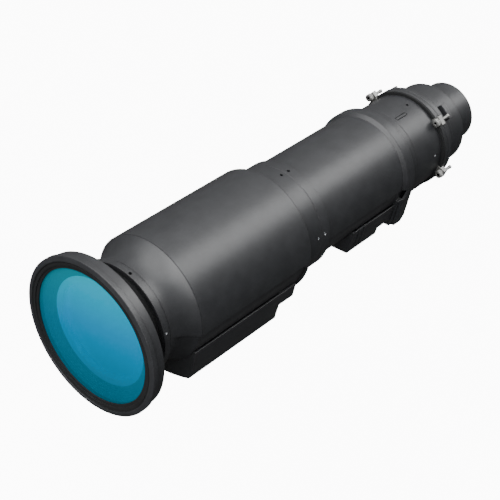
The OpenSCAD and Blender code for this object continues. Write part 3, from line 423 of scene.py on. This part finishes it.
def makeGlass(name, node, body, d):
    outline = lensOutline(d["front"], d["back"], d["bulge"], d["edge"], d["sagFront"],
                          d["sagBack"])
    addPiece(name, turnedMesh(outline, 128, 0), body, node)


frontGlass = {"front": -578, "back": -574, "bulge": 80.1, "edge": 85,
              "sagFront": 2.6, "sagBack": -2.6}

secondGlass = {"front": -567, "seat": -564.4, "edge": 66.57, "step": 57.2, "stepWall": 57.45,
               "floor": -560.5, "middle": -562, "back": -557}


def makeSecondGlass():
    # its dished face is let in behind a wide flat rim, so a step shows round it
    d = secondGlass
    steps = 16
    floor = [(d["step"] * k / steps,
              d["middle"] + (d["floor"] - d["middle"]) * (k / steps) ** 2)
             for k in range(steps + 1)]
    bm = turnedMesh(floor + [
        (d["step"] + 0.1, d["front"] + 1), (d["step"] + 0.5, d["front"] + 0.4),
        (d["edge"] - 1, d["front"]), (d["edge"], d["front"]), (d["edge"], d["seat"]),
        (d["stepWall"], d["seat"]), (d["stepWall"], d["back"]), (0, d["back"])], 128, 0)
    addPiece("secondGlass", bm, "focus_group", "second_element")


baffle = {"front": -574, "back": -567, "wide": 80.5, "throat": 65.6, "outer": 85,
          "grooves": 7}


def makeBaffle():
    # a cone with fine anti-reflection grooves, each a small saw tooth
    d = baffle
    fall = (d["wide"] - d["throat"]) / d["grooves"]
    rise = (d["back"] - d["front"]) / d["grooves"]
    teeth = []
    for k in range(d["grooves"]):
        teeth += [(d["wide"] - k * fall, d["front"] + k * rise),
                  (d["wide"] - k * fall - 0.1 * fall, d["front"] + (k + 0.9) * rise)]
    piece = ringPiece("lightBaffle", [(d["outer"], d["front"])] + teeth
                      + [(d["throat"], d["back"]), (d["outer"], d["back"])],
                      "focus_group", "baffle_cone", 0)
    piece.data.materials[0] = greyBaffle


focusTube = {"outer": 61, "inner": 57.5, "mouth": 69.57, "glassBore": 66.6, "glassSeat": -564.4,
             "back": -567, "tail": -454.9, "recessRadius": 59.25, "recessLength": 10}


def makeFocusTube():
    d = focusTube
    ringPiece("focusTube", [
        (d["glassBore"], d["back"]), (d["mouth"], d["back"]), (d["mouth"], stops["ringBack"]),
        (d["outer"], stops["ringBack"]), (d["outer"], d["tail"]),
        (d["recessRadius"], d["tail"]), (d["recessRadius"], d["tail"] - d["recessLength"]),
        (d["inner"], d["tail"] - d["recessLength"]), (d["inner"], d["glassSeat"]),
        (d["glassBore"], d["glassSeat"])], "focus_group", "focus_tube", 0.3)


makeFrontRing()
makeRetainer()
makeGlass("frontGlass", "front_element", "focus_group", frontGlass)
makeBaffle()
makeSecondGlass()
makeFocusTube()
print("front group made")


# ---- fixed barrels

def edgeRow(radius, y, depth, edgeZ, topSteps=120, lowSteps=72, corner=0.5):
    # one row of points round a barrel whose skin is cut back below a side edge
    low = radius - depth
    points = []
    x = math.sqrt(radius ** 2 - (edgeZ + corner) ** 2)
    start = math.atan2(edgeZ + corner, x)
    for k in range(topSteps + 1):
        a = start + (math.pi - 2 * start) * k / topSteps
        points.append((radius * math.cos(a), radius * math.sin(a)))
    chamfer = min(corner, depth * 0.5)
    z = edgeZ if depth else edgeZ + corner * 0.4
    shoulderX = math.sqrt(radius ** 2 - z ** 2) - (chamfer if depth else 0)
    footZ = edgeZ if depth else edgeZ + corner * 0.2
    footX = math.sqrt(low ** 2 - footZ ** 2)
    points += [(-shoulderX, z), (-footX, footZ)]
    foot = math.atan2(edgeZ - corner * 0.5, math.sqrt(low ** 2 - (edgeZ - corner * 0.5) ** 2))
    for k in range(lowSteps + 1):
        a = math.pi - foot + (math.pi + 2 * foot) * k / lowSteps
        points.append((low * math.cos(a), low * math.sin(a)))
    points += [(footX, footZ), (shoulderX, z)]
    return [(px * mm, y * mm, pz * mm) for px, pz in points]


def plainRow(radius, y, edgeZ, corner=0.5):
    # a full circle with as many points as edgeRow gives
    return edgeRow(radius, y, 0, edgeZ, corner=corner)


frontBarrel = {"radius": 78.25, "bore": 72, "relief": 3.2, "edgeAngle": 9, "edgeRise": 10,
               "collarRadius": 64.6, "coveRadius": 47.93, "pocketRadius": 63, "frontBore": 61.4,
               "seamWidth": 0.8, "seamDepth": 0.5, "reliefStart": 4, "reliefEnd": 2,
               "endRound": 12, "jointBore": 65.03, "jointWall": 6, "frontWall": 4.8,
               "coveSteps": 18, "roundSteps": 8}


def makeFrontBarrel():
    d = frontBarrel
    r, low = d["radius"], -d["radius"] * math.sin(math.radians(d["edgeAngle"]))
    y0, y1, yEnd = stops["shoulder"], stops["barrel"], stops["barrelEnd"]
    reliefStart, reliefEnd = y0 + d["reliefStart"], yEnd - d["reliefEnd"]

    def edgeAt(y):
        if y < y1:
            return low + d["edgeRise"] * (y1 - y) / (y1 - reliefStart)
        into = max(0.0, y - (reliefEnd - d["endRound"])) / d["endRound"]
        return low - d["endRound"] * (1 - math.sqrt(max(0.0, 1 - into ** 2)))

    def coveAt(y):
        # the hollow shoulder leaves the collar along the axis and swings out to the barrel
        cove = d["coveRadius"]
        return d["collarRadius"] + cove - math.sqrt(cove ** 2 - (y - y0) ** 2)

    def depthAt(y):
        return min(d["relief"], coveAt(y) - d["pocketRadius"])

    rows = [plainRow(coveAt(y0), y0, edgeAt(reliefStart)),
            plainRow(coveAt(reliefStart), reliefStart, edgeAt(reliefStart))]
    for k in range(d["coveSteps"] + 1):
        y = reliefStart + (y1 - 0.3 - reliefStart) * k / d["coveSteps"]
        rows.append(edgeRow(coveAt(y), y, depthAt(y), edgeAt(y)))
    rows.append(edgeRow(r - 0.1, y1 - 0.1, d["relief"], low))
    rows.append(edgeRow(r, y1, d["relief"], low))
    # the seam line behind the shoulder
    w, s = d["seamWidth"], d["seamDepth"]
    rows += [edgeRow(r - s, y1 + 0.1, d["relief"] - s, low),
             edgeRow(r - s, y1 + w, d["relief"] - s, low),
             edgeRow(r, y1 + w + 0.1, d["relief"], low)]
    rows.append(edgeRow(r, reliefEnd - d["endRound"], d["relief"], low))
    for k in range(1, d["roundSteps"] + 1):
        y = reliefEnd - d["endRound"] * (1 - math.sin(math.radians(90 * k / d["roundSteps"])))
        rows.append(edgeRow(r, y, d["relief"], edgeAt(y)))
    rows.append(plainRow(r, reliefEnd, edgeAt(reliefEnd)))
    back = edgeAt(reliefEnd)
    rows += [plainRow(r, yEnd - 0.8, back), plainRow(r - 0.25, yEnd - 0.25, back),
             plainRow(r - 0.8, yEnd, back), plainRow(d["jointBore"], yEnd, back),
             plainRow(d["jointBore"], yEnd - d["jointWall"], back),
             plainRow(d["bore"], yEnd - d["jointWall"], back),
             plainRow(d["bore"], y1 + d["frontWall"], low),
             plainRow(d["frontBore"], y1 + d["frontWall"], low),
             plainRow(d["frontBore"], y0, low)]
    bm = bmesh.new()
    bridge(bm, rows)
    addPiece("frontBarrel", bm, "base", "front_barrel", 28)


midBarrel = {"radius": 66.4, "bore": 62, "relief": 2, "edgeAngle": 9.7, "jointRadius": 65,
             "reliefStart": 2, "jointFront": -313}


def makeMidBarrel():
    d = midBarrel
    r, low = d["radius"], -d["radius"] * math.sin(math.radians(d["edgeAngle"]))
    y0, y1 = stops["mid"], stops["case"]
    rows = [plainRow(d["bore"], d["jointFront"], low), plainRow(d["jointRadius"],
            d["jointFront"], low), plainRow(d["jointRadius"], y0, low),
            plainRow(r - 0.6, y0, low), plainRow(r - 0.2, y0 + 0.2, low),
            plainRow(r, y0 + 0.6, low), plainRow(r, y0 + d["reliefStart"], low),
            edgeRow(r, y0 + d["reliefStart"], d["relief"], low),
            edgeRow(r, y1, d["relief"], low), plainRow(d["bore"], y1, low)]
    bm = bmesh.new()
    bridge(bm, rows)
    addPiece("middleBarrel", bm, "base", "mid_barrel", 28)


setScrew = {"radius": 1.97, "length": 2.4, "topSink": 1.65, "sideSink": 0.15,
            "topSocket": 1.5, "sideSocket": 0.9, "holeRadius": 2}


def onTop(angle):
    return 45 < angle < 135


def screwHoles(piece, y, angles, surface):
    d = setScrew
    cutters = []
    for angle in angles:
        sink = d["topSink"] if onTop(angle) else d["sideSink"]
        cutters.append(radialCutter(y, angle, d["holeRadius"], surface - sink - d["length"],
                                    surface + 2))
    cutAway(piece, cutters)


def makeSetScrews(name, node, places):
    # small grub screws: those on top stand deep in their holes and are coloured dark all over as
    # painted shade
    d = setScrew
    bm = bmesh.new()
    for y, angle, surface in places:
        top = surface - (d["topSink"] if onTop(angle) else d["sideSink"])
        socket = d["topSocket"] if onTop(angle) else d["sideSocket"]
        r, low, floor = d["radius"], top - d["length"], top - d["length"] * 0.75
        outline = [(0.01, floor), (socket, floor), (socket, top - 0.2), (socket + 0.15, top),
                   (r - 0.2, top), (r, top - 0.2), (r, low + 0.2), (r - 0.2, low), (0.01, low)]
        turn = Vector(around(1, angle, 0)).to_track_quat("Z", "Y").to_matrix()
        first = len(bm.faces)
        rows = []
        for radius, height in outline:
            row = []
            for k in range(24):
                a = math.radians(15 * k)
                spot = turn @ Vector((radius * math.cos(a), radius * math.sin(a), height))
                row.append((spot + Vector((0, y, 0))) * mm)
            rows.append(row)
        bridge(bm, rows, closed=False)
        bm.faces.ensure_lookup_table()
        # the screws on top take the dark finish: painted shade inside their holes
        for face in bm.faces[first:]:
            face.material_index = int(onTop(angle))
    bmesh.ops.holes_fill(bm, edges=[e for e in bm.edges if e.is_boundary], sides=0)
    piece = addPiece(name, bm, "base", node, 30)
    piece.data.materials[0] = brightZinc
    piece.data.materials.append(holePaintedShade)


frontCollar = {"radius": 68, "groove": 64.6, "bore": 61.08, "screws": [10, 75, 170, 250],
               "screwY": -533.5}


def makeFrontCollar():
    d = frontCollar
    piece = ringPiece("frontCollar", [
        (d["bore"], stops["collar"]), (d["radius"], stops["collar"]),
        (d["radius"], stops["groove"]), (d["groove"], stops["groove"]),
        (d["groove"], stops["shoulder"]), (d["bore"], stops["shoulder"])],
        "base", "front_collar", 0.6)
    screwHoles(piece, d["screwY"], d["screws"], d["radius"])
    makeSetScrews("collarSetScrews", "collar_set_screws",
                  [(d["screwY"], a, d["radius"]) for a in d["screws"]])


middleCollars = {"radius": 69.5, "bore": 65.03, "screws": [4, 80, 176, 260],
                 "frontScrewY": -282, "rearScrewY": -269.5}


def makeMiddleCollars():
    d = middleCollars
    for name, node, y0, y1, screwY in (
            ("middleCollarFront", "middle_collar_front", "barrelEnd", "collarSeam",
             d["frontScrewY"]),
            ("middleCollarRear", "middle_collar_rear", "collarSeam", "mid", d["rearScrewY"])):
        piece = ringPiece(name, [
            (d["bore"], stops[y0]), (d["radius"], stops[y0]), (d["radius"], stops[y1]),
            (d["bore"], stops[y1])], "base", node, 0.6)
        screwHoles(piece, screwY, d["screws"], d["radius"])
    makeSetScrews("middleSetScrews", "middle_set_screws",
                  [(y, a, d["radius"]) for y in (d["frontScrewY"], d["rearScrewY"])
                   for a in d["screws"]])


# node and edge rounding in mm of each casting
castings = {"gearCase": ("gear_case", 0.4), "frontHousing": ("front_housing", 0.5),
            "middleHousing": ("mid_housing", 0.5)}

makeFrontBarrel()
makeMidBarrel()
makeFrontCollar()
makeMiddleCollars()
for name, (node, edge) in castings.items():
    refined(name, node, "base", edge)
print("barrels and housings made")


# ---- rear tube, flange, screws and rear barrel

rearTube = {"step": 62.5, "radius": 61.5, "flange": 67.97, "flangeFront": -96.7,
            "nut": -93.5, "spigot": 59, "spigotLength": 6, "bore": 57, "seat": 57.85,
            "seatLength": 2.2, "slotInset": 4,
            "slotAngle": 69, "slotWidth": 5.2, "slotLength": 23, "lineWidth": 1.0, "lineDepth": 2,
            "seam": 1.2, "screws": [4, 78, 176], "screwY": -31.5}


def makeRearTube():
    d = rearTube
    piece = ringPiece("rearTube", [
        (d["seat"], d["flangeFront"]), (d["flange"], d["flangeFront"]), (d["flange"], d["nut"]),
        (d["step"] - d["seam"], d["nut"]), (d["step"] - d["seam"], stops["tube"] + d["seam"]),
        (d["step"], stops["tube"] + d["seam"]), (d["step"], stops["tubeStep"]),
        (d["radius"] - d["seam"], stops["tubeStep"]),
        (d["radius"] - d["seam"], stops["tubeStep"] + d["seam"]),
        (d["radius"], stops["tubeStep"] + d["seam"]),
        (d["radius"], stops["blackRing"]), (d["spigot"], stops["blackRing"]),
        (d["spigot"], stops["flange"] + d["spigotLength"]),
        (d["bore"], stops["flange"] + d["spigotLength"]),
        (d["bore"], d["flangeFront"] + d["seatLength"]),
        (d["seat"], d["flangeFront"] + d["seatLength"])],
        "base", "rear_tube", 0.5)
    screwHoles(piece, d["screwY"], d["screws"], d["radius"])
    makeSetScrews("tubeSetScrews", "tube_set_screws",
                  [(d["screwY"], a, d["radius"]) for a in d["screws"]])
    # the long mark is a fine groove along the outline of a slot with round ends
    first = stops["tubeStep"] + d["slotInset"] + d["slotWidth"] / 2
    last = first + d["slotLength"] - d["slotWidth"]
    turn = Matrix.Rotation(math.radians(90 - d["slotAngle"]), 4, "Y")

    def slotRow(half, z):
        flat = [(half * math.cos(t), last + half * math.sin(t))
                for t in (math.pi * k / 12 for k in range(13))]
        flat += [(half * math.cos(t), first + half * math.sin(t))
                 for t in (math.pi + math.pi * k / 12 for k in range(13))]
        return [turn @ Vector((x * mm, y * mm, z * mm)) for x, y in flat]

    bm = bmesh.new()
    outer = d["slotWidth"] / 2
    inner = outer - d["lineWidth"]
    bridge(bm, [slotRow(outer, d["radius"] - d["lineDepth"]), slotRow(outer, d["radius"] + 2),
                slotRow(inner, d["radius"] + 2), slotRow(inner, d["radius"] - d["lineDepth"])])
    cutAway(piece, [cutterObject(bm)])


captiveScrew = {"ringRadius": 69.3, "headRadius": 5, "headLength": 7, "shankRadius": 2.1,
                "threadRadius": 2.5, "head": -25.03, "threadStart": 0.5, "tail": 4,
                "socket": 2.1, "socketDepth": 4, "neck": 1.4, "neckLength": 1.2,
                "knurls": 36, "knurlDepth": 0.22,
                "threadPitch": 0.8, "threadDepth": 0.35, "angles": [40, 140, -23, 203]}


def makeCaptiveScrew(index, angle):
    # one outline turned about the screw's own axis, with a knurled head and hex socket
    d = captiveScrew
    sides = d["knurls"] * 4
    hexSteps = sides // 6

    def circle(radius, y, knurl=0.0):
        return [((radius - (knurl if k % 4 < 2 else 0)) * math.cos(2 * math.pi * k / sides), y,
                 (radius - (knurl if k % 4 < 2 else 0)) * math.sin(2 * math.pi * k / sides))
                for k in range(sides)]

    def hexagon(radius, y):
        row = []
        for k in range(sides):
            into = (k % hexSteps) / hexSteps
            a = math.radians(60 * (k // hexSteps))
            b = a + math.radians(60)
            row.append((radius * (math.cos(a) * (1 - into) + math.cos(b) * into), y,
                        radius * (math.sin(a) * (1 - into) + math.sin(b) * into)))
        return row

    r, y0, k = d["headRadius"], d["head"], d["knurlDepth"]
    y1 = y0 + d["headLength"]
    threads = []
    y = d["threadStart"]
    while y < d["tail"] - 0.9:
        threads += [circle(d["threadRadius"], y),
                    circle(d["threadRadius"] - d["threadDepth"], y + d["threadPitch"] / 2)]
        y += d["threadPitch"]
    rows = [circle(0.01, y0 + d["socketDepth"]), hexagon(d["socket"], y0 + d["socketDepth"]),
            hexagon(d["socket"], y0 + 0.25), hexagon(d["socket"] + 0.2, y0),
            circle(r - 0.7, y0), circle(r - 0.25, y0 + 0.25), circle(r, y0 + 0.7, k),
            circle(r, y1 - d["neckLength"] - 0.3, k), circle(r - 0.3, y1 - d["neckLength"]),
            circle(r - d["neck"], y1 - d["neckLength"]), circle(r - d["neck"], y1),
            circle(d["shankRadius"], y1), circle(d["shankRadius"], d["threadStart"])]
    rows += threads
    rows += [circle(d["threadRadius"], d["tail"] - 0.5),
             circle(d["threadRadius"] - 0.5, d["tail"]), circle(0.01, d["tail"])]
    bm = bmesh.new()
    cx, _, cz = around(d["ringRadius"], angle, 0)
    bridge(bm, [[((x + cx) * mm, yy * mm, (z + cz) * mm) for x, yy, z in row] for row in rows],
           closed=False)
    bm.faces.ensure_lookup_table()
    # the socket's floor and wall get the dark finish: painted shade inside the hole
    for face in bm.faces[:sides * 2]:
        face.material_index = 1  # the socket's floor and wall
    bmesh.ops.holes_fill(bm, edges=[e for e in bm.edges if e.is_boundary], sides=0)
    piece = addPiece("captiveScrew%d" % index, bm, "screw_%d" % index,
                     "captive_screw_%d" % index, 30)
    piece.data.materials.append(holePaintedShade)


rearCap = {"bore": 36, "front": 35, "lipRadius": 45, "lipBack": 38, "radius": 42,
           "endRadius": 40.8, "glassBore": 38.3, "retainerBore": 35.8, "retainerRadius": 38.27}
rearGlass = {"front": 76, "back": 84, "bulge": 35.6, "edge": 38.27, "sagFront": 2,
             "sagBack": 2}


def makeRearCap():
    d = rearCap
    glassFront, glassBack, end = rearGlass["front"], rearGlass["back"], stops["rear"]
    ringPiece("rearCap", [
        (d["bore"], d["front"]), (d["lipRadius"], d["front"]), (d["lipRadius"], d["lipBack"]),
        (d["radius"], d["lipBack"]), (d["radius"], stops["capStep"]),
        (d["endRadius"], stops["capStep"]), (d["endRadius"], end), (d["glassBore"], end),
        (d["glassBore"], glassFront), (d["bore"], glassFront)], "base", "rear_cap", 0.6)
    ringPiece("rearRetainer", [
        (d["retainerBore"], glassBack), (d["retainerRadius"], glassBack),
        (d["retainerRadius"], end), (d["retainerBore"], end)],
        "base", "rear_retainer", 0.3)
    makeGlass("rearGlass", "rear_element", "base", rearGlass)


rearCastings = {"blackRing": ("black_ring", 0.3), "mountFlange": ("mount_flange", 0.5),
                "screwClips": ("screw_clips", 0.3), "rearBarrel": ("rear_barrel", 0.5),
                "harnessCover": ("harness_cover", 0.8)}

makeRearTube()
for number, angle in enumerate(captiveScrew["angles"], 1):
    makeCaptiveScrew(number, angle)
for name, (node, edge) in rearCastings.items():
    refined(name, node, "base", edge)
makeRearCap()
print("rear parts made")


# ---- floor, lights and camera

studio = {"floorRadius": 25, "floorHeight": -0.62, "wallHeight": 16, "paperGlow": 9.0}


def makeFloor():
    # a round paper floor with a wall, like a wide bowl
    d = studio
    middle = d["wallHeight"] / 2 + d["floorHeight"]
    bm = bmesh.new()
    bmesh.ops.create_cone(bm, cap_ends=True, segments=96, radius1=d["floorRadius"],
                          radius2=d["floorRadius"], depth=d["wallHeight"],
                          matrix=Matrix.Translation((0, 0, middle)))
    lid = [face for face in bm.faces if face.calc_center_median().z > d["wallHeight"] - 1]
    bmesh.ops.delete(bm, geom=lid, context="FACES_ONLY")
    bmesh.ops.reverse_faces(bm, faces=bm.faces)
    mesh = bpy.data.meshes.new("studioFloor")
    bm.to_mesh(mesh)
    bm.free()
    floor = bpy.data.objects.new("studioFloor", mesh)
    bpy.context.scene.collection.objects.link(floor)
    material, tree = newMaterial("paleStudioPaper")
    paper = addNode(tree, "ShaderNodeBsdfPrincipled",
                    values={"Base Color": srgb("#f2f2f2"), "Roughness": 0.9,
                            "Specular IOR Level": 0.1,
                            "Emission Color": srgb("#ffffff"),
                            "Emission Strength": d["paperGlow"]})
    finishMaterial(tree, paper)
    mesh.materials.append(material)
    # the paper is seen, but throws no light back up under the lens
    floor.visible_diffuse = False
    floor.visible_glossy = False
    floor.visible_shadow = False


def addLight(name, kind, aim, energy, colour="#ffffff", size=1.0, distance=3.0,
             target=(0, -0.25, 0)):
    light = bpy.data.lights.new(name, kind)
    light.energy = energy
    light.color = srgb(colour)[:3]
    if kind == "AREA":
        light.size = size
    else:
        light.angle = math.radians(size)
    thing = bpy.data.objects.new(name, light)
    direction = Vector(aim).normalized()
    thing.location = Vector(target) + direction * distance
    thing.rotation_euler = (-direction).to_track_quat("-Z", "Y").to_euler()
    bpy.context.scene.collection.objects.link(thing)


def makeLights():
    addLight("keyFromUpperRear", "SUN", (0.413, 0.6255, 0.662), 2.2, size=32)
    addLight("topFill", "SUN", (-0.05, 0.25, 0.95), 0.9, size=60)
    addLight("shoulderFill", "SUN", (0.02, -0.42, 0.9), 4.8, size=75)
    addLight("frontFill", "AREA", (0.35, -0.8, 0.5), 80, size=2.0, distance=2.4,
             target=(0, -0.55, 0))
    world = bpy.data.worlds.new("studioAir")
    world.use_nodes = True
    tree = world.node_tree
    tree.nodes.clear()
    # the room is pale overhead and dark below the lens
    way = addNode(tree, "ShaderNodeTexCoord")
    height = addNode(tree, "ShaderNodeSeparateXYZ", links={"Vector": way.outputs["Generated"]})
    glow = addNode(tree, "ShaderNodeMapRange",
                   values={"From Min": -0.2, "From Max": 1.0, "To Min": 0.08, "To Max": 0.66},
                   links={"Value": height.outputs["Z"]})
    air = addNode(tree, "ShaderNodeBackground", values={"Color": srgb("#ffffff")},
                  links={"Strength": glow.outputs[0]})
    addNode(tree, "ShaderNodeOutputWorld", links={"Surface": air.outputs[0]})
    bpy.context.scene.world = world


# the camera's place and turn come from the rings seen in the photograph
camera = {"place": (0.83993, -1.29205, 0.84793), "lookDown": 34.11, "heading": 40.94,
          "focal": 94.464, "sensor": 36}


def makeCamera():
    data = bpy.data.cameras.new("photoCamera")
    data.lens = camera["focal"]
    data.sensor_width = camera["sensor"]
    data.clip_end = 100
    thing = bpy.data.objects.new("photoCamera", data)
    thing.location = camera["place"]
    thing.rotation_euler = (math.radians(90 - camera["lookDown"]), 0,
                            math.radians(camera["heading"]))
    bpy.context.scene.collection.objects.link(thing)
    bpy.context.scene.camera = thing


makeFloor()
makeLights()
makeCamera()
print("stage, lights and camera made")
